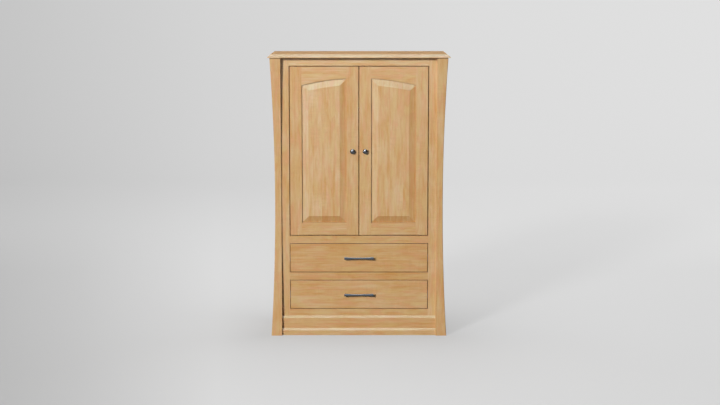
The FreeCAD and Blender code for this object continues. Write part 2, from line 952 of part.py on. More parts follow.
def make_catch():
    """A double magnetic catch behind the top rail, and the strike plate on the door."""
    strike_y = (door_rear, door_rear + size("strike_thickness"))
    magnet_front = strike_y[1] + size("slide_gap")
    catch_rear = magnet_front + size("catch_depth")
    outline = [
        (frame_rear, doors_top),
        (magnet_front, doors_top),
        (magnet_front, doors_top - size("catch_drop")),
        (catch_rear, doors_top - size("catch_drop")),
        (catch_rear, doors_top + size("catch_tab_height")),
        (frame_rear, doors_top + size("catch_tab_height")),
    ]
    half = size("catch_half_width")
    catch = board("magnetic_catch", "side", outline, (-half, half))
    right = half - size("edge_ease")
    strike_top = door_top - size("strike_thickness")
    strike = block(
        "strike_right",
        (right - size("strike_width"), right),
        strike_y,
        (strike_top - size("strike_height"), strike_top))
    return [catch, strike, mirrored(strike, "strike_left")]


# ---------------------------------------------------------------- knobs

def make_knob():
    """A turned knob: a foot, a neck and a disc whose face is bevelled to its rim."""
    body = new_body("knob_right")
    radius = size("knob_diameter") / 2
    face = size("knob_face_diameter") / 2
    neck = size("knob_neck_diameter") / 2
    foot = size("knob_foot_diameter") / 2
    profile = [
        (0, 0),
        (foot, 0),
        (foot, -size("knob_foot_height")),
        (neck, -size("knob_foot_height")),
        (neck, -size("knob_neck_height")),
        (radius, -size("knob_neck_height")),
        (radius, -size("knob_rim_height")),
        (face, -size("knob_projection")),
        (0, -size("knob_projection")),
    ]
    sketch = new_sketch(body, "plan", 0)
    draw_loop(sketch, profile)
    turned = body.newObject("PartDesign::Revolution", "Turned")
    turned.Profile = sketch
    turned.ReferenceAxis = (sketch, ["V_Axis"])
    turned.Angle = 360
    doc.recompute()
    place(body, door_left_x + size("door_stile_width") / 2, face_y, (door_z + door_top) / 2)
    return body


def place(item, x, y, z):
    """Binds the item's position to three formulas."""
    for axis, value in zip("xyz", (x, y, z)):
        item.setExpression(f"Placement.Base.{axis}", text_of(value))


# ---------------------------------------------------------------- drawers

def drawer_levels(opening_z):
    """Bottom and top of the drawer front in an opening, and of its box."""
    front = (
        opening_z + size("drawer_reveal"),
        opening_z + size("drawer_opening_height") - size("drawer_reveal"))
    box_z = front[0] + size("drawer_side_rise")
    return front, (box_z, box_z + size("drawer_side_height"))


box_half = opening_half - size("drawer_side_gap")
box_inner = box_half - size("drawer_side_thickness")
box_rear = back_front - size("drawer_back_gap")


def pin_outline(number, box_z, tip_y, shoulder_y):
    """Side view of one dovetail pin: narrow at the tails' tips and wide at their shoulders.
    The lowest and highest pins of a corner are halves."""
    middle = box_z[0] + (box_z[1] - box_z[0]) * number / DRAWER_TAILS
    narrow = size("dovetail_pin_width") / 2
    wide = narrow + size("dovetail_flare")
    below = (0, 0) if number == 0 else (narrow, wide)
    above = (0, 0) if number == DRAWER_TAILS else (narrow, wide)
    return [
        (tip_y, middle - below[0]),
        (shoulder_y, middle - below[1]),
        (shoulder_y, middle + above[1]),
        (tip_y, middle + above[0]),
    ]


def tail_outline(number, box_z, tip_y, shoulder_y):
    """Side view of the tail between one pin and the next."""
    _, _, low_shoulder, low_tip = pin_outline(number, box_z, tip_y, shoulder_y)
    high_tip, high_shoulder, _, _ = pin_outline(number + 1, box_z, tip_y, shoulder_y)
    return [low_tip, low_shoulder, high_shoulder, high_tip]


def make_drawer(name, opening_z):
    """A slab front lipped past its box, sides dovetailed to it and to the back, and a bottom
    in grooves."""
    front_z, box_z = drawer_levels(opening_z)
    half = opening_half - size("drawer_reveal")
    side_front = door_rear - size("drawer_side_seat")
    back_face = box_rear - size("drawer_side_thickness")
    bottom_z = (
        box_z[0] + size("drawer_bottom_rise"),
        box_z[0] + size("drawer_bottom_rise") + size("drawer_bottom_thickness"))
    seat = size("drawer_bottom_seat")
    front_pins = [
        pin_outline(number, box_z, side_front, door_rear) for number in range(DRAWER_TAILS + 1)]
    front_tails = [
        tail_outline(number, box_z, side_front, door_rear) for number in range(DRAWER_TAILS)]
    rear_pins = [
        pin_outline(number, box_z, box_rear, back_face) for number in range(1, DRAWER_TAILS + 1)]

    front = board(
        f"drawer_{name}_front", "front", rectangle((-half, half), front_z), (face_y, door_rear))
    lips = [
        rectangle((sign * box_half, sign * (half + seat)), (side_front, door_rear + seat))
        for sign in (1, -1)
    ]
    pocket(front, "plan", lips, front_z)
    pocket(front, "side", front_tails, (box_inner, box_half))
    pocket(front, "side", front_tails, (-box_half, -box_inner))
    pocket(
        front,
        "front",
        [rectangle((-box_inner, box_inner), bottom_z)],
        (door_rear - seat, door_rear))
    dress(
        front,
        "Chamfer",
        size("edge_ease"),
        lambda edge: lies_at(edge, y=face_y))

    side = board(
        f"{name}_side", "side", rectangle((side_front, box_rear), box_z), (box_inner, box_half))
    pocket(side, "side", front_pins + rear_pins, (box_inner, box_half))
    pocket(
        side,
        "side",
        [rectangle((door_rear, box_rear), bottom_z)],
        (box_inner, box_inner + seat))
    sides = group(f"drawer_{name}_sides", [side, mirrored(side, f"{name}_side_left")])

    back = board(
        f"drawer_{name}_back",
        "side",
        rectangle((back_face, box_rear), (bottom_z[1], box_z[1])),
        (-box_inner, box_inner))
    pad(back, "side", rear_pins, (-box_half, box_half))
    bottom_outline = [
        (-box_inner, door_rear - seat),
        (box_inner, door_rear - seat),
        (box_inner, door_rear),
        (box_inner + seat, door_rear),
        (box_inner + seat, box_rear),
        (-box_inner - seat, box_rear),
        (-box_inner - seat, door_rear),
        (-box_inner, door_rear),
    ]
    bottom = board(f"drawer_{name}_bottom", "plan", bottom_outline, bottom_z)
    return [front, sides, back, bottom, make_pull(name, front_z)]


# ---------------------------------------------------------------- pulls

def make_pull(name, front_z):
    """A bow-tie bar on two round posts."""
    body = new_body(f"drawer_{name}_pull")
    centre_z = (front_z[0] + front_z[1]) / 2
    half = size("pull_length") / 2
    end = size("pull_end_height") / 2
    waist = size("pull_waist_height") / 2
    bar_front = face_y - size("pull_projection")
    bar_rear = bar_front + size("pull_thickness")
    radius = arc_radius(size("pull_length"), end - waist)
    outline = [
        (-half, centre_z - end),
        (half, centre_z - end),
        (half, centre_z + end),
        (-half, centre_z + end),
    ]
    arcs = {
        0: (radius, (0, centre_z - waist - radius)),
        2: (radius, (0, centre_z + waist + radius)),
    }
    pad(body, "front", [outline], (bar_front, bar_rear), arcs)
    sketch = new_sketch(body, "front", face_y, "Posts")
    for sign in (-1, 1):
        draw_circle(
            sketch, sign * size("pull_centres") / 2, centre_z, size("pull_post_diameter"))
    posts = body.newObject("PartDesign::Pad", "Posts")
    posts.Profile = sketch
    posts.setExpression("Length", text_of(face_y - bar_rear))
    doc.recompute()
    dress(body, "Chamfer", size("edge_ease"), lambda edge: lies_at(edge, y=bar_front))
    return body


# ---------------------------------------------------------------- slides

def channel(label, web, tips, height, z_middle, y_span, steel):
    """A rolled steel channel: a web and two flanges that reach the tips."""
    half = height / 2
    toward = 1 if number_of(tips) > number_of(web) else -1
    outline = [
        (web, z_middle - half),
        (tips, z_middle - half),
        (tips, z_middle - half + steel),
        (web + toward * steel, z_middle - half + steel),
        (web + toward * steel, z_middle + half - steel),
        (tips, z_middle + half - steel),
        (tips, z_middle + half),
        (web, z_middle + half),
    ]
    return board(label, "front", outline, y_span)


def make_slides(name, opening_z):
    """Case, middle and drawer members of one pair of slides, nested in the side gap."""
    box_z = drawer_levels(opening_z)[1]
    z_middle = (box_z[0] + box_z[1]) / 2
    steel = size("slide_steel")
    gap = size("slide_gap")
    flange = size("slide_flange")
    y_span = (door_rear + size("slide_front_gap"), box_rear)
    nest = 2 * (steel + gap)
    middle_web = opening_half - steel - gap
    height = size("slide_height")
    case = channel(
        f"case_member_{name}", opening_half, opening_half - flange, height, z_middle, y_span, steel)
    middle = channel(
        f"middle_member_{name}",
        middle_web,
        box_half + steel + gap,
        height - nest,
        z_middle,
        y_span,
        steel)
    drawer = channel(
        f"drawer_member_{name}",
        box_half,
        middle_web - steel - gap,
        height - 2 * nest,
        z_middle,
        y_span,
        steel)
    bearer = block(
        f"bearer_{name}",
        (opening_half, opening_half + size("bearer_thickness")),
        (frame_rear, back_front),
        (z_middle - size("bearer_height") / 2, z_middle + size("bearer_height") / 2))
    return case, middle, drawer, bearer


def make_slide_groups():
    """The members of both drawers' slides, grouped by the body that they ride on."""
    pieces = []
    cases = []
    bearers = []
    for name, opening_z in (("upper", upper_drawer_z), ("lower", lower_drawer_z)):
        case, middle, drawer, bearer = make_slides(name, opening_z)
        cases += [case, mirrored(case, f"{case.Label}_left")]
        bearers += [bearer, mirrored(bearer, f"{bearer.Label}_left")]
        pieces.append(group(
            f"slide_mid_members_{name}", [middle, mirrored(middle, f"{middle.Label}_left")]))
        pieces.append(group(
            f"slide_drawer_members_{name}", [drawer, mirrored(drawer, f"{drawer.Label}_left")]))
    pieces.append(group("slide_case_members", cases))
    pieces.append(group("slide_bearers", bearers))
    return pieces


# ---------------------------------------------------------------- assembly

def make_doors():
    """The right door's pieces and their mirror images for the left door."""
    hinge_stile = make_door_stile(
        "door_right_hinge_stile", (daylight_right, door_right_x), daylight_right, -1)
    let_in_leaves(hinge_stile)
    lock_stile = make_door_stile(
        "door_right_lock_stile", (door_left_x, daylight_left), daylight_left, 1)
    right = [hinge_stile, lock_stile, *make_door_rails(), make_door_panel(), make_knob()]
    left = [mirrored(piece, piece.Label.replace("right", "left")) for piece in right]
    return right + left


def make_all():
    """Every piece of the armoire, in the order of assembly."""
    pieces = []
    for right in (make_front_pillar(), make_rear_pillar(), make_side_panel()):
        pieces += [right, mirrored(right, right.Label.replace("right", "left"))]
    pieces += make_face_frame()
    pieces += make_base()
    pieces += [
        make_case_panel("case_bottom", lower_drawer_z),
        make_case_panel("tv_deck", doors_z),
        make_back_panel(),
        make_cleats(),
        make_shelf(),
        make_shelf_pins(),
        make_top_board(),
    ]
    pieces += make_doors()
    pieces += make_pivots()
    pieces += make_catch()
    pieces += make_drawer("upper", upper_drawer_z)
    pieces += make_drawer("lower", lower_drawer_z)
    pieces += make_slide_groups()
    return pieces


def check(pieces):
    """Stops the build when any object failed or any piece has no sound shape."""
    for item in doc.Objects:
        if "Invalid" in item.State or "Error" in item.State:
            raise RuntimeError(f"{item.Label} failed: {item.State}")
    for piece in pieces:
        if piece.Shape.isNull() or not piece.Shape.isValid():
            raise RuntimeError(f"{piece.Label} has no valid shape")


pieces = make_all()
doc.recompute()
check(pieces)
os.makedirs("parts", exist_ok=True)
for piece in pieces:
    piece.Shape.exportStep(f"parts/{piece.Label}.step")
print(f"{len(pieces)} pieces written")
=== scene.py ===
import json
import math
from collections import namedtuple

import bpy
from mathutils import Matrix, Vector


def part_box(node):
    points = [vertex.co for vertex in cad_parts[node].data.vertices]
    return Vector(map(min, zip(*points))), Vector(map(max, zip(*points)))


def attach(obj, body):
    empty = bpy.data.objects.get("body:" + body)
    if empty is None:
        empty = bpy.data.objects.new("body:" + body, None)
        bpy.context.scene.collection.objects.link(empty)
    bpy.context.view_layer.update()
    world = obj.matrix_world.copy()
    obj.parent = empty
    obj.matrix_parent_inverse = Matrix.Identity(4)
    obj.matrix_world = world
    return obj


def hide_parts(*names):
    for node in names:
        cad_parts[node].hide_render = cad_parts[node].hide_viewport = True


# The looks of the television armoire: lacquered honey maple, plywood, dark metal knobs and
# pewter pulls, zinc-plated hardware and its screws, on a pale studio floor. Lengths are in
# metres, apart from those whose comment says mm.

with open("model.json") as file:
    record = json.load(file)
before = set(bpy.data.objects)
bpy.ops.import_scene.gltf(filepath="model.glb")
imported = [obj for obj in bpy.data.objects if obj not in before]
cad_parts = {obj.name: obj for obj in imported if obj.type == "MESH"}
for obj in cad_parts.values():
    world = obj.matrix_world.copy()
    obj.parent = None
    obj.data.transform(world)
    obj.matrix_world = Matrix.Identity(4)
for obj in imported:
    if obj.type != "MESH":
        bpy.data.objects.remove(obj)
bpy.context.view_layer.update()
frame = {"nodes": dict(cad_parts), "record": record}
NODES = frame["nodes"]
SLOTS = {row["node"]: row["material_slot"] for row in frame["record"]["subparts"]}
MM = 0.001


# ---------------------------------------------------------------- node helpers

# Sockets of a Mix node that mixes colours.
MIX_FACTOR, MIX_FIRST, MIX_SECOND, MIX_RESULT = 0, 6, 7, 2

# The level about which a grey texture varies.
GREY_MIDDLE = 0.5


def linear(level):
    """One 0-255 display level as linear light, by the sRGB curve."""
    share = level / 255
    return share / 12.92 if share <= 0.04045 else ((share + 0.055) / 1.055) ** 2.4


def colour(red, green, blue):
    """A display colour as a linear RGBA tuple."""
    return (linear(red), linear(green), linear(blue), 1.0)


def link(tree, source, target):
    """Joins an output, or sets a plain value, on an input socket."""
    if hasattr(source, "is_output"):
        tree.links.new(source, target)
    else:
        target.default_value = source


def add(tree, kind, inputs=None, **settings):
    """A node with its settings and its inputs joined or set."""
    item = tree.nodes.new(kind)
    for name, value in settings.items():
        setattr(item, name, value)
    for name, value in (inputs or {}).items():
        link(tree, value, item.inputs[name])
    return item


def maths(tree, operation, *values):
    """A Math node's result."""
    item = add(tree, "ShaderNodeMath", dict(enumerate(values)), operation=operation)
    return item.outputs[0]


def vector_maths(tree, operation, *values):
    """A Vector Math node's vector."""
    item = add(tree, "ShaderNodeVectorMath", dict(enumerate(values)), operation=operation)
    return item.outputs[0]


def part(tree, vector, axis):
    """The x, y or z of a vector."""
    return add(tree, "ShaderNodeSeparateXYZ", {0: vector}).outputs["xyz".index(axis)]


def ramp(tree, factor, stops):
    """A colour ramp through (place, colour) stops."""
    item = add(tree, "ShaderNodeValToRGB", {"Fac": factor})
    elements = item.color_ramp.elements
    while len(elements) < len(stops):
        elements.new(0.5)
    for element, (place, tint) in zip(elements, stops):
        element.position = place
        element.color = tint
    return item.outputs["Color"]


def noise(tree, vector, scale=1.0, detail=2.0, roughness=0.5, distortion=0.0):
    """A noise texture's grey output."""
    item = add(
        tree,
        "ShaderNodeTexNoise",
        {
            "Vector": vector,
            "Scale": scale,
            "Detail": detail,
            "Roughness": roughness,
            "Distortion": distortion,
        })
    return item.outputs["Fac"]


def stretched(tree, vector, along, across, grain):
    """The coordinates scaled so that a texture is drawn out along the grain."""
    scale = [across, across, across]
    scale["xyz".index(grain)] = along
    return vector_maths(tree, "MULTIPLY", vector, tuple(scale))


def span_share(tree, value, low, high, start=0.0, end=1.0):
    """The value's place between two limits, from the start number to the end one."""
    item = add(
        tree,
        "ShaderNodeMapRange",
        {"Value": value, "From Min": low, "From Max": high, "To Min": start, "To Max": end})
    return item.outputs[0]


def spread(tree, value, gain, middle=0.0):
    """A grey texture's distance from its own middle, times a gain, about another middle."""
    return maths(tree, "MULTIPLY_ADD", value, gain, middle - GREY_MIDDLE * gain)


def mixed(tree, blend, factor, first, second):
    """A colour Mix node's result."""
    item = add(
        tree,
        "ShaderNodeMix",
        {MIX_FACTOR: factor, MIX_FIRST: first, MIX_SECOND: second},
        data_type="RGBA",
        blend_type=blend)
    return item.outputs[MIX_RESULT]


def tinted(tree, base, share, tint):
    """A colour multiplied by a tint, where and as far as a share says."""
    return mixed(tree, "MULTIPLY", share, base, tint)


def new_material(name):
    """An empty material and its tree, with a Principled shader joined to the output."""
    material = bpy.data.materials.new(name)
    material.use_nodes = True
    tree = material.node_tree
    tree.nodes.clear()
    output = tree.nodes.new("ShaderNodeOutputMaterial")
    shader = tree.nodes.new("ShaderNodeBsdfPrincipled")
    tree.links.new(shader.outputs[0], output.inputs["Surface"])
    return material, tree, shader


def surface(tree, shader, base, rough, height, strength, depth):
    """Joins a colour, a roughness and a bump of some depth to a shader."""
    bump = add(
        tree,
        "ShaderNodeBump",
        {"Height": height, "Strength": strength, "Distance": depth})
    tree.links.new(base, shader.inputs["Base Color"])
    tree.links.new(rough, shader.inputs["Roughness"])
    tree.links.new(bump.outputs[0], shader.inputs["Normal"])


# ---------------------------------------------------------------- wood

# Display colours of the finished wood, from the palest growth to the warmest.
PALE = colour(206, 173, 130)
HONEY = colour(200, 159, 108)
WARM = colour(194, 145, 84)
ROSY = colour(206, 151, 109)
STRAW = colour(202, 171, 114)

# The tones at which the first three are whole, the level of the blush noise at which it turns
# the wood rosy or straw-coloured, and the most it does so.
TONE_STOPS = [(0.15, PALE), (0.50, HONEY), (0.88, WARM)]
BLUSHES = [(0.70, ROSY), (0.30, STRAW)]
BLUSH_MOST = 0.6

# How each step towards a paler board raises its red, green and blue.
PALER = (0.05, 0.11, 0.21)

# The noises that make up the wood: how fine each is along and across the grain, its detail,
# its roughness and its distortion.
WOOD_NOISES = {
    "clouds": (4.5, 11.0, 2.0, 0.50, 0.6),
    "figure": (7.0, 60.0, 2.0, 0.55, 0.7),
    "streaks": (2.2, 130.0, 2.0, 0.50, 0.4),
    "blush": (7.0, 34.0, 2.0, 0.55, 1.0),
    "lines": (5.0, 300.0, 3.0, 0.60, 0.3),
    "pores": (60.0, 1500.0, 1.0, 0.50, 0.0),
    "curl": (70.0, 14.0, 2.0, 0.50, 0.8),
    "patches": (6.0, 16.0, 1.0, 0.50, 0.0),
}

# How far the broad noises, and each stave's own number, shift the tone towards warm.
TONE_GAINS = {"clouds": -1.1, "figure": 1.1, "streaks": 0.7}
STAVE_GAIN = 0.16

# Fine marks: how much curl and growth lines change the shade, how much of it a pore leaves,
# and the levels of their noises where patches of curl and pores begin and end.
CURL_GAIN = 0.16
CURL_SPAN = (0.45, 0.60)
LINE_GAIN = 0.11
PORE_SPAN = (0.30, 0.44)
PORE_SHADE = 0.90

# How much growth lines roughen the finish, how deep pores are beside them and how deep all of
# it is, in metres, and the roughness of the coat.
LINE_ROUGHNESS = 0.08
PORE_DENT = 0.4
WOOD_BUMP_DEPTH = 0.0004
COAT_ROUGHNESS = 0.25

# What sets a board's or a stave's figure apart from its neighbour's.
BOARD_SEED_STEP = 1.37
STAVE_SEED_STEP = 7.31
STAVE_JUMP = 3.1

# Some surfaces differ by the way they face: end grain is darker, and the rest is painted
# light and shade. Each span says how much of the surface normal lies along an axis where the
# change starts and where it is whole: for end grain and for the painted light and shade on
# bevels on boards, for both on the door panels, for the painted shade on the flat top, and for
# the painted shade on edges that turn from the front.
BOARD_END_SPAN = (0.60, 0.95)
BOARD_BEVEL_LIGHT_SPAN = (0.15, 0.35)
PANEL_SPAN = (0.08, 0.20)
FLAT_SHADE_SPAN = (0.97, 1.0)
GAP_SHADE_SPAN = (0.7, 0.3)

# Wood cut across its grain is darker. The edges in the narrow gaps round the doors
# and drawers are darkened with painted shade, in a band this wide. The flat top is darker and
# warmer with painted shade, and rougher.
END_GRAIN = (0.86, 0.76, 0.61, 1.0)
GAP_SHADE_TINT = (0.62, 0.52, 0.42, 1.0)
GAP_SHADE_BAND = 0.003
FLAT_SHADE_TINT = (0.97, 0.74, 0.43, 1.0)
FLAT_ROUGHNESS = 0.5

# The panels' side bevels: which way along x each faces, and its tint of painted light and
# shade, browner and darker where it faces right and paler where it faces left.
SIDE_LIGHT_TINTS = [(1.0, (0.99, 0.93, 0.83, 1.0)), (-1.0, (0.97, 1.01, 1.10, 1.0))]

# A finish has a coat weight, a specular level, a least roughness and a bump strength, the
# spans of its end grain and of the painted light on its bevels, and the tints of painted light
# and shade on its upward bevels, its flat top and its side bevels, where it has them.
Finish = namedtuple(
    "Finish",
    "coat specular least_rough bump end_span bevel_span bevel_tint flat_tint side_tints",
    defaults=(BOARD_END_SPAN, BOARD_BEVEL_LIGHT_SPAN, None, None, ()))
# The bevel tints are painted light and shade: a paler, cooler painted sheen on the panels'
# upward bevels, a cooler one on the mouldings', and painted shade on the top's bevel. The flat
# tint is painted shade.
FINISHES = {
    "lacquer": Finish(0.15, 0.25, 0.30, 0.10),
    "top": Finish(
        0.0, 0.37, 0.33, 0.10, bevel_tint=(0.76, 0.84, 0.93, 1.0), flat_tint=FLAT_SHADE_TINT),
    "moulding": Finish(0.0, 0.37, 0.33, 0.10, bevel_tint=(0.80, 0.95, 1.10, 1.0)),
    "panel": Finish(
        0.25, 0.30, 0.30, 0.10, PANEL_SPAN, PANEL_SPAN, bevel_tint=(0.86, 1.08, 1.32, 1.0),
        side_tints=SIDE_LIGHT_TINTS),
    "satin": Finish(0.0, 0.30, 0.50, 0.25),
}


def stave_place(tree, place, across, width, seed):
    """The coordinates, moved at random for each stave, and the stave's own random number."""
    side = maths(tree, "DIVIDE", part(tree, place, across), width)
    number = maths(tree, "FLOOR", maths(tree, "ADD", side, seed))
    own = add(
        tree,
        "ShaderNodeTexWhiteNoise",
        {"W": maths(tree, "ADD", number, seed * STAVE_SEED_STEP)},
        noise_dimensions="1D")
    jump = vector_maths(tree, "MULTIPLY", own.outputs["Color"], (STAVE_JUMP,) * 3)
    return vector_maths(tree, "ADD", place, jump), own.outputs["Value"]


def wood_colour(tree, grown, own, paler):
    """The wood's colour on its face, from its noises and the stave's own number."""
    tone = GREY_MIDDLE
    for name, gain in TONE_GAINS.items():
        tone = maths(tree, "ADD", tone, spread(tree, grown[name], gain))
    tone = maths(tree, "ADD", tone, spread(tree, own, STAVE_GAIN))
    base = ramp(tree, tone, TONE_STOPS)
    for level, blush in BLUSHES:
        share = span_share(tree, grown["blush"], GREY_MIDDLE, level, 0.0, BLUSH_MOST)
        base = mixed(tree, "MIX", share, base, blush)
    curled = span_share(tree, grown["patches"], *CURL_SPAN)
    ripple = maths(tree, "MULTIPLY", spread(tree, grown["curl"], CURL_GAIN), curled)
    shade = maths(tree, "ADD", spread(tree, grown["lines"], LINE_GAIN, 1.0), ripple)
    pores = span_share(tree, grown["pores"], *PORE_SPAN, PORE_SHADE, 1.0)
    base = tinted(tree, base, 1.0, maths(tree, "MULTIPLY", shade, pores))
    return tinted(tree, base, 1.0, (*(1 + paler * step for step in PALER), 1.0))


def end_grain_and_bevel_light(tree, base, facing, grain, look):
    """The colour with its end grain darkened and painted light and shade on its bevels, by the
    way they face.
    """
    lengthwise = maths(tree, "ABSOLUTE", part(tree, facing, grain))
    base = tinted(tree, base, span_share(tree, lengthwise, *look.end_span), END_GRAIN)
    if look.bevel_tint:
        upward = span_share(tree, part(tree, facing, "z"), *look.bevel_span)
        base = tinted(tree, base, upward, look.bevel_tint)
    for sign, tint in look.side_tints:
        sideways = maths(tree, "MULTIPLY", part(tree, facing, "x"), sign)
        base = tinted(tree, base, span_share(tree, sideways, *look.bevel_span), tint)
    return base


def gap_shade_share(tree, place, facing, outline):
    """Where painted shade darkens a surface that turns away from the front. On a door or
    drawer front, whose outline in x and z is given, it does so only at the rim, and a painted
    dark band along the outer and upper arris counts too."""
    depth = maths(tree, "ABSOLUTE", part(tree, facing, "y"))
    turned_away = span_share(tree, depth, *GAP_SHADE_SPAN)
    if outline is None:
        return turned_away
    (x_low, x_high), (z_low, z_high) = outline
    x, z = maths(tree, "ABSOLUTE", part(tree, place, "x")), part(tree, place, "z")
    past_inner = maths(
        tree, "MAXIMUM", maths(tree, "SUBTRACT", x_low, x), maths(tree, "SUBTRACT", z_low, z))
    past_outer = maths(
        tree, "MAXIMUM", maths(tree, "SUBTRACT", x, x_high), maths(tree, "SUBTRACT", z, z_high))
    past_rim = maths(tree, "MAXIMUM", past_inner, past_outer)
    at_rim = maths(tree, "GREATER_THAN", past_rim, -GAP_SHADE_BAND)
    # A band of painted shade along the front's outer and upper arris.
    arris = span_share(tree, past_outer, -GAP_SHADE_BAND, 0.0)
    return maths(tree, "MAXIMUM", maths(tree, "MULTIPLY", turned_away, at_rim), arris)


def wood(
        name, grain, across, stave, seed, paler=0.0, finish="lacquer", edges=False,
        outline=None):
    """Maple with its grain along one axis, made of staves side by side on another."""
    look = FINISHES[finish]
    material, tree, shader = new_material(name)
    coordinates = add(tree, "ShaderNodeTexCoord").outputs
    place, facing = coordinates["Object"], coordinates["Normal"]
    local, own = stave_place(tree, place, across, stave, seed)
    grown = {
        noise_name: noise(tree, stretched(tree, local, along, broad, grain), 1.0, *rest)
        for noise_name, (along, broad, *rest) in WOOD_NOISES.items()}
    base = wood_colour(tree, grown, own, paler)
    base = end_grain_and_bevel_light(tree, base, facing, grain, look)
    # Painted shade on the edges by the narrow gaps round the doors and drawers.
    if edges:
        base = tinted(tree, base, gap_shade_share(tree, place, facing, outline), GAP_SHADE_TINT)
    rough = maths(tree, "MULTIPLY_ADD", grown["lines"], LINE_ROUGHNESS, look.least_rough)
    # Painted shade on the flat top, darker and warmer, and a rougher finish there.
    if look.flat_tint:
        flat = span_share(tree, part(tree, facing, "z"), *FLAT_SHADE_SPAN)
        base = tinted(tree, base, flat, look.flat_tint)
        rough = maths(tree, "MULTIPLY_ADD", flat, FLAT_ROUGHNESS, rough)
    height = maths(tree, "MULTIPLY_ADD", grown["pores"], PORE_DENT, grown["lines"])
    surface(tree, shader, base, rough, height, look.bump, WOOD_BUMP_DEPTH)
    shader.inputs["Specular IOR Level"].default_value = look.specular
    shader.inputs["Coat Weight"].default_value = look.coat
    shader.inputs["Coat Roughness"].default_value = COAT_ROUGHNESS
    return material


# ---------------------------------------------------------------- metals and plastic

# Display colour, middle roughness and fineness of the scratches of each metal.
METALS = {
    "pewter": ((82, 88, 94), 0.36, 500.0),
    "pivot_bronze": ((62, 50, 40), 0.50, 400.0),
    "zinc_steel": ((190, 192, 194), 0.32, 600.0),
    "dark_knob_metal": ((86, 88, 92), 0.22, 300.0),
    "screw_steel": ((150, 150, 152), 0.34, 400.0),
}

# Metal: the fineness of its smudges and of its scratches along x, how much smudges change its
# shade and scratches its roughness, and its bump.
SMUDGE_SCALE = 90.0
SCRATCH_ALONG = 60.0
SMUDGE_GAIN = 0.16
SCRATCH_GAIN = 0.12
METAL_BUMP = 0.05
METAL_BUMP_DEPTH = 0.0001

# Plastic: its colour, the fineness of its grain and clouds, its middle roughness, how much
# clouds change its shade and grain its roughness, and its bump.
CATCH_BROWN = colour(92, 68, 48)
GRAIN_SCALE = 900.0
CLOUD_SCALE = 60.0
PLASTIC_ROUGHNESS = 0.55
PLASTIC_GAIN = 0.2
PLASTIC_BUMP = 0.2
PLASTIC_BUMP_DEPTH = 0.0002


def metal(name):
    """Metal with fine random wear in its roughness and a faint bump."""
    levels, roughness, scratch_scale = METALS[name]
    material, tree, shader = new_material(name)
    place = add(tree, "ShaderNodeTexCoord").outputs["Object"]
    smudge = noise(tree, place, SMUDGE_SCALE, detail=3.0, roughness=0.6)
    scratch = noise(tree, stretched(tree, place, SCRATCH_ALONG, scratch_scale, "x"))
    base = tinted(tree, colour(*levels), 1.0, spread(tree, smudge, SMUDGE_GAIN, 1.0))
    rough = spread(tree, scratch, SCRATCH_GAIN, roughness)
    surface(tree, shader, base, rough, scratch, METAL_BUMP, METAL_BUMP_DEPTH)
    shader.inputs["Metallic"].default_value = 1.0
    return material


def plastic(name, tint):
    """Moulded plastic with a fine grain."""
    material, tree, shader = new_material(name)
    place = add(tree, "ShaderNodeTexCoord").outputs["Object"]
    grain = noise(tree, place, GRAIN_SCALE)
    cloud = noise(tree, place, CLOUD_SCALE)
    base = tinted(tree, tint, 1.0, spread(tree, cloud, PLASTIC_GAIN, 1.0))
    rough = spread(tree, grain, PLASTIC_GAIN, PLASTIC_ROUGHNESS)
    surface(tree, shader, base, rough, grain, PLASTIC_BUMP, PLASTIC_BUMP_DEPTH)
    return material


# ---------------------------------------------------------------- which piece gets what

# Grain axis, axis across the staves and stave width of the show wood, by node or by the words
# of its name that wood_key() keeps.
WOOD_PLAN = {
    "top_board": ("x", "y", 0.11),
    "pillar_front": ("z", "x", 0.30),
    "pillar_rear": ("z", "x", 0.30),
    "side_panel": ("z", "y", 0.125),
    "face_stile": ("z", "x", 0.30),
    "top_rail": ("x", "z", 0.30),
    "middle_rail": ("x", "z", 0.30),
    "drawer_rail": ("x", "z", 0.30),
    "bottom_rail": ("x", "z", 0.30),
    "base_board_front": ("x", "z", 0.30),
    "base_shoe_front": ("x", "z", 0.30),
    "base_board": ("y", "z", 0.30),
    "base_shoe": ("y", "z", 0.30),
    "tv_shelf": ("x", "y", 0.12),
    "hinge_stile": ("z", "x", 0.30),
    "lock_stile": ("z", "x", 0.30),
    "panel": ("z", "x", 0.085),
    "drawer_front": ("x", "z", 0.30),
}

# How much paler than the rest a show-wood piece is.
BOARD_TONES = {
    "top_board": 0.7,
    "top_rail": 1.3,
    "door_left_top_rail": 0.9,
    "door_right_top_rail": 0.8,
    "door_left_panel": 0.45,
    "door_right_panel": 0.2,
    "door_left_lock_stile": 0.1,
    "door_right_lock_stile": 0.5,
    "door_left_bottom_rail": 0.1,
    "face_stile_left": 0.3,
    "pillar_front_left": -0.05,
    "pillar_front_right": -0.3,
    "drawer_upper_front": -0.8,
    "drawer_rail": -0.7,
    "drawer_lower_front": -0.2,
    "bottom_rail": -0.2,
    "base_board_front": -0.7,
    "base_shoe_front": -0.4,
}

# The woods of the back and the inside: grain axis, axis across the staves, stave width, seed
# and how much paler than show wood each is.
INNER_WOODS = {
    "plywood_z": ("z", "x", 0.32, 3.3, 0.5),
    "plywood_x": ("x", "y", 0.32, 5.1, 0.5),
    "poplar": ("y", "z", 0.40, 8.2, 0.2),
    "drawer_maple": ("y", "z", 0.07, 2.2, 1.0),
    "drawer_maple_back": ("x", "z", 0.07, 2.9, 1.0),
}

MOVING_FRONTS = ("door_", "drawer_upper", "drawer_lower")
FRAME_WITH_GAPS = ("face_stile", "drawer_rail", "top_rail", "middle_rail")
NO_INNER_EDGE = -1.0


def dress_node(node, material):
    """Gives every slot of a CAD node one material."""
    mesh = NODES[node].data
    if not mesh.materials:
        mesh.materials.append(material)
    for slot_number in range(len(mesh.materials)):
        mesh.materials[slot_number] = material


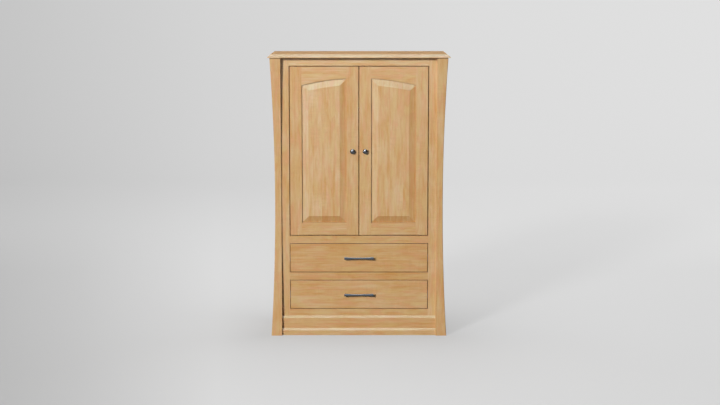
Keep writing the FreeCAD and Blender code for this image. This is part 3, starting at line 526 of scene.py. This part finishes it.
def wood_key(node):
    """The entry of the wood plan that a node follows."""
    words = node.split("_")
    if node.startswith("door_"):
        return "_".join(words[2:])
    if node.startswith("drawer_") and words[-1] == "front":
        return "drawer_front"
    return node if node in WOOD_PLAN else "_".join(words[:-1])


def wood_finish(node):
    """The finish of a piece of show wood."""
    if node.startswith("base_"):
        return "moulding"
    if node.startswith("door_") and node.endswith("panel"):
        return "panel"
    return "top" if node == "top_board" else "lacquer"


def outline_box(node):
    """The limits in x, on the right-hand side, and in z of the door or drawer front that a
    node belongs to."""
    if node.startswith("door_"):
        low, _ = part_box("door_right_lock_stile")
        bottom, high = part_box("door_right_hinge_stile")
        return (low.x, high.x), (bottom.z, high.z)
    low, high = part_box(node)
    return (NO_INNER_EDGE, high.x), (low.z, high.z)


def dress_wood():
    """A maple of its own for every show-wood piece, so that no two boards match."""
    for number, node in enumerate(sorted(NODES), start=1):
        if SLOTS[node] != "maple":
            continue
        finish = wood_finish(node)
        moving = node.startswith(MOVING_FRONTS) and finish != "panel"
        material = wood(
            f"maple_{node}",
            *WOOD_PLAN[wood_key(node)],
            seed=number * BOARD_SEED_STEP,
            paler=BOARD_TONES.get(node, 0.0),
            finish=finish,
            # Fronts and frame pieces by the gaps get painted shade on their edges.
            edges=moving or node.startswith(FRAME_WITH_GAPS),
            outline=outline_box(node) if moving else None)
        dress_node(node, material)


def inner_look(node):
    """The name of the material of a piece that isn't show wood."""
    if node.startswith("pivot"):
        return "pivot_bronze"
    if SLOTS[node] == "plywood":
        return "plywood_z" if node == "back_panel" else "plywood_x"
    if SLOTS[node] == "drawer_maple" and node.endswith("back"):
        return "drawer_maple_back"
    return SLOTS[node]


def dress_rest():
    """Plywood, bare wood, pale drawer maple, metals and plastic."""
    looks = {name: wood(name, *plan, finish="satin") for name, plan in INNER_WOODS.items()}
    for name in ("pewter", "pivot_bronze", "zinc_steel"):
        looks[name] = metal(name)
    looks["catch_plastic"] = plastic("catch_plastic", CATCH_BROWN)
    for node, slot_name in SLOTS.items():
        if slot_name != "maple":
            dress_node(node, looks[inner_look(node)])


# ---------------------------------------------------------------- meshes

TO_FRONT, TO_BACK = (0, -1, 0), (0, 1, 0)


def mesh_piece(name, verts, faces, material, body, smooth=True):
    """A new piece of the object, made from its points, riding on a body."""
    mesh = bpy.data.meshes.new(name)
    mesh.from_pydata(verts, [], faces)
    mesh.validate()
    mesh.materials.append(material)
    for polygon in mesh.polygons:
        polygon.use_smooth = smooth
    piece = bpy.data.objects.new(name, mesh)
    bpy.context.scene.collection.objects.link(piece)
    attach(piece, body)
    return piece


def ring_faces(rings, count):
    """The faces between rings that have the same count of points."""
    faces = []
    for ring in range(rings - 1):
        for step in range(count):
            near, far = ring * count + step, ring * count + (step + 1) % count
            faces.append((near, far, far + count, near + count))
    return faces


def cap(ring, count):
    """The face that closes a ring."""
    return tuple(range(ring * count, (ring + 1) * count))


def box_mm(node):
    """A CAD node's lowest and highest corners, in mm."""
    return [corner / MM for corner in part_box(node)]


# ---------------------------------------------------------------- raised panels

# In mm: how far a panel reaches into its grooves, the thickness of its tongue, the radius of
# the doors' arch and the width of the bevel. Past a hairline gap the bevel's rim stands a
# little forward of the tongue. The bevel ends in a small step at the field, which stands
# proud of the CAD panel.
PANEL_REACH = 8.5
TONGUE_THICKNESS = 6.0
ARCH_RADIUS = 1500.0
BEVEL_WIDTH = 42.0
RIM_GAP = 0.3
RIM_RISE = 1.5
FIELD_STEP = 0.8
FIELD_PROUD = 0.8

# How far each ring of the step's rounded top is beyond the bevel and behind the field, in mm.
STEP_RINGS = [(0.5, 0.3), (1.2, 0.0)]

# The share of the bevel's climb that is straight, where the rest is a shallow cove, and the
# number of rings up the bevel and of runs along the arch. Each ring has the arch's points and
# the two corners at the foot.
STRAIGHT_SHARE = 0.9
BEVEL_RINGS = 6
ARCH_STEPS = 28
RING_POINTS = ARCH_STEPS + 3

# The points where a ring turns a corner, and the rings where the panel has a crease apart from
# its last one: the tongue's two arrises, the rim's foot and top, and the foot of the step.
RING_CORNERS = (0, 1, 2, RING_POINTS - 1)
CREASED_RINGS = (0, 1, 2, 3, 3 + BEVEL_RINGS)


def panel_rings(tongue_rear, field):
    """Inset from the panel's opening and depth, in mm, of each ring round the panel."""
    tongue_front = tongue_rear - TONGUE_THICKNESS
    rim = tongue_front - RIM_RISE
    rise = rim - field - FIELD_STEP
    rings = [
        (-PANEL_REACH, tongue_rear), (-PANEL_REACH, tongue_front), (RIM_GAP, tongue_front),
        (RIM_GAP, rim)]
    for step in range(1, BEVEL_RINGS + 1):
        share = step / BEVEL_RINGS
        climb = STRAIGHT_SHARE * share + (1 - STRAIGHT_SHARE) * share * share
        rings.append((RIM_GAP + (BEVEL_WIDTH - RIM_GAP) * share, rim - rise * climb))
    return rings + [(BEVEL_WIDTH + beyond, field + behind) for beyond, behind in STEP_RINGS]


def make_panel(side):
    """A door's raised panel, with a bevel that follows the arch."""
    node = f"door_{side}_panel"
    low, high = box_mm(node)
    inner_x = min(abs(low.x), abs(high.x))
    reach_radius = ARCH_RADIUS + PANEL_REACH
    arch_centre = high.z - math.sqrt(reach_radius ** 2 - inner_x ** 2)
    rings = panel_rings(high.y, low.y - FIELD_PROUD)
    verts = []
    for inset, depth in rings:
        shift = PANEL_REACH + inset
        left, right, bottom = low.x + shift, high.x - shift, low.z + shift
        radius = ARCH_RADIUS - inset
        outline = [(left, bottom), (right, bottom)]
        for step in range(ARCH_STEPS + 1):
            x = right + (left - right) * step / ARCH_STEPS
            outline.append((x, arch_centre + math.sqrt(radius ** 2 - x ** 2)))
        verts += [(x * MM, depth * MM, z * MM) for x, z in outline]
    last = len(rings) - 1
    faces = [cap(0, RING_POINTS), cap(last, RING_POINTS)] + ring_faces(len(rings), RING_POINTS)
    material = NODES[node].data.materials[0]
    piece = mesh_piece(f"raised_{node}", verts, faces, material, f"door_{side}")
    for edge in piece.data.edges:
        (ring, point), (end_ring, end_point) = (
            divmod(vertex, RING_POINTS) for vertex in edge.vertices)
        along_crease = ring == end_ring and ring in (*CREASED_RINGS, last)
        up_corner = point == end_point and point in RING_CORNERS
        edge.use_edge_sharp = along_crease or up_corner
    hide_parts(node)


# ---------------------------------------------------------------- knobs and screws

# Distance from the axis and height above the door of each point of a knob's outline, in mm.
KNOB_OUTLINE = [
    (9.0, 0.0), (9.0, 1.4), (8.4, 2.0), (6.6, 2.6), (6.0, 4.0), (5.8, 8.0), (6.4, 11.5),
    (8.6, 13.6), (12.0, 14.6), (15.2, 15.4), (16.0, 16.6), (15.8, 17.8), (14.6, 19.6),
    (12.4, 21.4), (9.4, 22.8), (6.0, 23.6), (2.6, 23.95), (0.0, 24.0)]
KNOB_SIDES = 40

# Outline of a square-drive pan head, in mm, for a head of 1 mm radius; its last two rings are
# the square recess.
HEAD_OUTLINE = [
    (1.0, 0.0), (1.0, 0.16), (0.94, 0.34), (0.78, 0.50), (0.55, 0.58), (0.47, 0.59),
    (0.30, 0.57), (0.26, 0.22)]
RECESS_RINGS = 2
HEAD_SIDES = 24

# The least radius of a turned ring, in mm, so that none shrinks to a point.
LEAST_RADIUS = 0.01

# Where the screws are, in mm: half the distance between a pull's posts, the catch's screws
# either side of its middle and above its foot, and the back panel's from its edges and, along
# its top edge, from its middle.
PULL_POST = 80.0
CATCH_SCREW = 20.0
CATCH_SCREW_HEIGHT = 40.0
BACK_SCREW_INSET = 9.0
BACK_SCREW_ROWS = 9
TOP_SCREWS = (-255, 0, 255)

# Radii of the screws' heads, in mm, and how flat the back panel's are.
PULL_HEAD = 4.5
CATCH_HEAD = 3.2
BACK_HEAD = 3.6
BACK_FLATNESS = 0.8


def turned(outline, centre, axis, sides, square_rings=0):
    """Points and faces of an outline turned about an axis that leaves a centre point. The last
    few rings may be square, as a screw's recess is."""
    axis = Vector(axis).normalized()
    first = axis.orthogonal().normalized()
    second = axis.cross(first)
    verts = []
    for ring, (radius, height) in enumerate(outline):
        square = ring >= len(outline) - square_rings
        for step in range(sides):
            turn = 2 * math.pi * step / sides
            reach = max(radius, LEAST_RADIUS)
            if square:
                reach /= max(abs(math.cos(turn)), abs(math.sin(turn)))
            spoke = first * math.cos(turn) + second * math.sin(turn)
            verts.append(Vector(centre) + axis * height * MM + spoke * reach * MM)
    return verts, ring_faces(len(outline), sides) + [cap(len(outline) - 1, sides)]


def make_knobs():
    """Domed knobs in the place of the plain turned solids."""
    dark_metal = metal("dark_knob_metal")
    for side in ("left", "right"):
        node = f"knob_{side}"
        low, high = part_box(node)
        centre = ((low.x + high.x) / 2, high.y, (low.z + high.z) / 2)
        verts, faces = turned(KNOB_OUTLINE, centre, TO_FRONT, KNOB_SIDES)
        piece = mesh_piece(
            f"domed_{node}", verts, faces, dark_metal, f"door_{side}")
        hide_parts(node)


def screw_heads(name, spots, radius, material, body, flatness=1.0):
    """Screw heads at points in mm, as one piece that faces the back."""
    outline = [(reach * radius, height * radius * flatness) for reach, height in HEAD_OUTLINE]
    verts, faces = [], []
    for spot in spots:
        centre = [value * MM for value in spot]
        more_verts, more_faces = turned(outline, centre, TO_BACK, HEAD_SIDES, RECESS_RINGS)
        faces += [tuple(len(verts) + index for index in face) for face in more_faces]
        verts += more_verts
    mesh_piece(name, verts, faces, material, body, smooth=False)


def make_screws():
    """The screws of the pulls, the knobs, the catch and the back panel."""
    steel = metal("screw_steel")
    for level in ("upper", "lower"):
        body = f"drawer_{level}"
        low, high = box_mm(f"{body}_pull")
        front_rear = box_mm(f"{body}_front")[1].y
        spots = [(side * PULL_POST, front_rear, (low.z + high.z) / 2) for side in (-1, 1)]
        screw_heads(f"pull_screws_{level}", spots, PULL_HEAD, steel, body)
    for side in ("left", "right"):
        body = f"door_{side}"
        low, high = box_mm(f"knob_{side}")
        stile_rear = box_mm(f"{body}_lock_stile")[1].y
        spots = [((low.x + high.x) / 2, stile_rear, (low.z + high.z) / 2)]
        screw_heads(f"knob_screw_{side}", spots, PULL_HEAD, steel, body)
    low, high = box_mm("magnetic_catch")
    spots = [(side * CATCH_SCREW, high.y, low.z + CATCH_SCREW_HEIGHT) for side in (-1, 1)]
    screw_heads("catch_screws", spots, CATCH_HEAD, steel, "root")
    low, high = box_mm("back_panel")
    foot, head = low.z + BACK_SCREW_INSET, high.z - BACK_SCREW_INSET
    pitch = (head - foot) / (BACK_SCREW_ROWS - 1)
    spots = [
        (side * (high.x - BACK_SCREW_INSET), high.y, foot + row * pitch)
        for side in (-1, 1) for row in range(BACK_SCREW_ROWS)]
    spots += [(x, high.y, head) for x in TOP_SCREWS]
    screw_heads("back_panel_screws", spots, BACK_HEAD, steel, "root", BACK_FLATNESS)


# ---------------------------------------------------------------- studio

# The paper: how far it reaches, where its curve up to the wall starts, and the curve.
FLOOR_REACH = 120.0
WALL_START = 7.5
WALL_RADIUS = 5.0
WALL_STEPS = 16

# Display greys that the paper glows with, across a fan that opens away from the camera's foot:
# it brightens from the left end, soon on the floor and slowly on the wall. Then where along y
# the floor's greys give way to the wall's.
WALL_GREYS = [(0.0, 183), (0.3, 200), (0.65, 210), (1.0, 215)]
FLOOR_GREYS = [(0.0, 166), (0.1, 176), (0.3, 200), (1.0, 199)]
FAN_ORIGIN = -9.9
FAN_SPAN = 0.24
NEAR_EDGE = 2.0
FAR_EDGE = 7.0

# The soft shade on the paper: the middle, a little left of the object, and the half size of
# the box that it fades from, the most that it takes away, and how far it reaches.
BASE_CENTRE = (-0.06, 0.0)
HALF_BASE = (0.57, 0.24)
CONTACT_SHADE = 0.21
CONTACT_REACH = 0.42

# How much light the paper gives back, which sets how dark the lamps' shadow is.
FLOOR_GREY = 0.16


def sweep_mesh():
    """A seamless sweep: floor in front, curving up to a wall behind."""
    profile = [(-FLOOR_REACH, 0.0), (WALL_START, 0.0)]
    for step in range(1, WALL_STEPS + 1):
        angle = math.pi / 2 * step / WALL_STEPS
        profile.append((
            WALL_START + WALL_RADIUS * math.sin(angle),
            WALL_RADIUS * (1 - math.cos(angle))))
    profile.append((WALL_START + WALL_RADIUS, FLOOR_REACH))
    verts = [(x, y, z) for y, z in profile for x in (-FLOOR_REACH, FLOOR_REACH)]
    faces = [(2 * i, 2 * i + 1, 2 * i + 3, 2 * i + 2) for i in range(len(profile) - 1)]
    mesh = bpy.data.meshes.new("studio_sweep")
    mesh.from_pydata(verts, [], faces)
    for polygon in mesh.polygons:
        polygon.use_smooth = True
    return mesh


def contact_shade(tree, place):
    """One less the soft shade that the object's base casts on the paper round it."""
    squares = []
    for axis, centre, half in zip("xy", BASE_CENTRE, HALF_BASE):
        offset = maths(tree, "SUBTRACT", part(tree, place, axis), centre)
        outside = maths(tree, "SUBTRACT", maths(tree, "ABSOLUTE", offset), half)
        beyond = maths(tree, "MAXIMUM", outside, 0.0)
        squares.append(maths(tree, "MULTIPLY", beyond, beyond))
    gap = maths(tree, "SQRT", maths(tree, "ADD", *squares))
    fading = maths(tree, "EXPONENT", maths(tree, "DIVIDE", gap, -CONTACT_REACH))
    return maths(tree, "MULTIPLY_ADD", fading, -CONTACT_SHADE, 1.0)


def sweep_material():
    """Pale paper, brighter to the right and on the wall. Its glow is seen by the camera and in
    reflections alone, so it lights nothing, and its own diffuse part keeps the shadow."""
    material, tree, shader = new_material("studio_paper")
    place = add(tree, "ShaderNodeTexCoord").outputs["Object"]
    away = part(tree, place, "y")
    fan = maths(
        tree, "DIVIDE", part(tree, place, "x"), maths(tree, "SUBTRACT", away, FAN_ORIGIN))
    share = span_share(tree, fan, -FAN_SPAN, FAN_SPAN)
    wall, floor = (
        ramp(tree, share, [(stop, colour(grey, grey, grey)) for stop, grey in greys])
        for greys in (WALL_GREYS, FLOOR_GREYS))
    glow = mixed(tree, "MIX", span_share(tree, away, NEAR_EDGE, FAR_EDGE), floor, wall)
    path = add(tree, "ShaderNodeLightPath").outputs
    seen = maths(tree, "ADD", path["Is Camera Ray"], path["Is Glossy Ray"])
    seen = maths(tree, "ADD", seen, path["Is Transmission Ray"])
    seen = maths(tree, "MULTIPLY", seen, contact_shade(tree, place))
    tree.links.new(glow, shader.inputs["Emission Color"])
    tree.links.new(seen, shader.inputs["Emission Strength"])
    shader.inputs["Base Color"].default_value = (FLOOR_GREY, FLOOR_GREY, FLOOR_GREY, 1.0)
    shader.inputs["Roughness"].default_value = 1.0
    shader.inputs["Specular IOR Level"].default_value = 0.0
    return material


def studio_floor():
    """The paper sweep."""
    mesh = sweep_mesh()
    mesh.materials.append(sweep_material())
    sweep = bpy.data.objects.new("studio_sweep", mesh)
    bpy.context.scene.collection.objects.link(sweep)


# Azimuth, elevation and distance of each lamp from the middle of the piece, its size and its
# power in watts. Azimuths are in degrees from straight ahead, with left negative.
LAMPS = {
    "key": (-29, 19, 26.0, 4.0, 6900),
    "front_bank": (0, 45, 5.0, 1.0, 6),
    "high_left_bank": (-40, 55, 7.0, 0.8, 6),
    "overhead_bank": (0, 95, 6.0, 1.6, 8),
    "rear_top_bank": (180, 60, 6.0, 1.6, 100),
    "left_rear_fill": (-125, 22, 7.0, 3.5, 100),
    "right_rear_fill": (125, 22, 7.0, 3.5, 100),
}

# The same for the banks that only gloss shows, on the lacquer and the metal.
GLOSS_LAMPS = {
    "gloss_wall": (-12, 15, 12.0, 8.0, 330),
    "gloss_front": (0, 25, 8.0, 2.6, 170),
    "gloss_top": (0, 50, 5.0, 3.0, 200),
    "gloss_over": (0, 80, 5.0, 2.5, 200),
}
LAMP_TARGET = (0.0, 0.0, 0.9)
ROOM_LEVEL = 0.0


def lamp_place(azimuth, elevation, distance):
    """A point at an azimuth, an elevation and a distance from what the lamps aim at."""
    turn, lift = math.radians(azimuth), math.radians(elevation)
    x, y, z = LAMP_TARGET
    return (
        x + distance * math.sin(turn) * math.cos(lift),
        y - distance * math.cos(turn) * math.cos(lift),
        z + distance * math.sin(lift))


def area_light(name, azimuth, elevation, distance, size, power):
    """A square soft light aimed at the middle of the piece."""
    data = bpy.data.lights.new(name, "AREA")
    data.shape = "SQUARE"
    data.size = size
    data.energy = power
    lamp = bpy.data.objects.new(name, data)
    lamp.location = lamp_place(azimuth, elevation, distance)
    aim = Vector(LAMP_TARGET) - lamp.location
    lamp.rotation_euler = aim.to_track_quat("-Z", "Y").to_euler()
    bpy.context.scene.collection.objects.link(lamp)
    return lamp


def light_studio():
    """A key from the upper left, soft banks round the piece, gloss banks and a dark room."""
    for name, settings in LAMPS.items():
        area_light(name, *settings)
    for name, settings in GLOSS_LAMPS.items():
        area_light(name, *settings).visible_diffuse = False
    world = bpy.data.worlds.new("room")
    bpy.context.scene.world = world
    world.use_nodes = True
    background = world.node_tree.nodes["Background"]
    background.inputs["Color"].default_value = (1.0, 1.0, 1.0, 1.0)
    background.inputs["Strength"].default_value = ROOM_LEVEL


# The camera stands a little above the top board and looks down at the doors: its place, its
# pitch in degrees, where 90 is level, and its focal length and sensor width in mm.
CAMERA_PLACE = (0.007, -9.894, 2.257)
CAMERA_PITCH = 81.87
FOCAL_LENGTH = 75.65
SENSOR_WIDTH = 36.0


def make_camera():
    """A long-lens front view, as a product photograph has."""
    data = bpy.data.cameras.new("camera")
    data.lens = FOCAL_LENGTH
    data.sensor_width = SENSOR_WIDTH
    camera = bpy.data.objects.new("camera", data)
    camera.location = CAMERA_PLACE
    camera.rotation_euler = (math.radians(CAMERA_PITCH), 0.0, 0.0)
    bpy.context.scene.collection.objects.link(camera)
    bpy.context.scene.camera = camera


dress_wood()
dress_rest()
make_panel("left")
make_panel("right")
make_knobs()
make_screws()
studio_floor()
light_studio()
make_camera()
bpy.context.scene.view_settings.view_transform = "Standard"
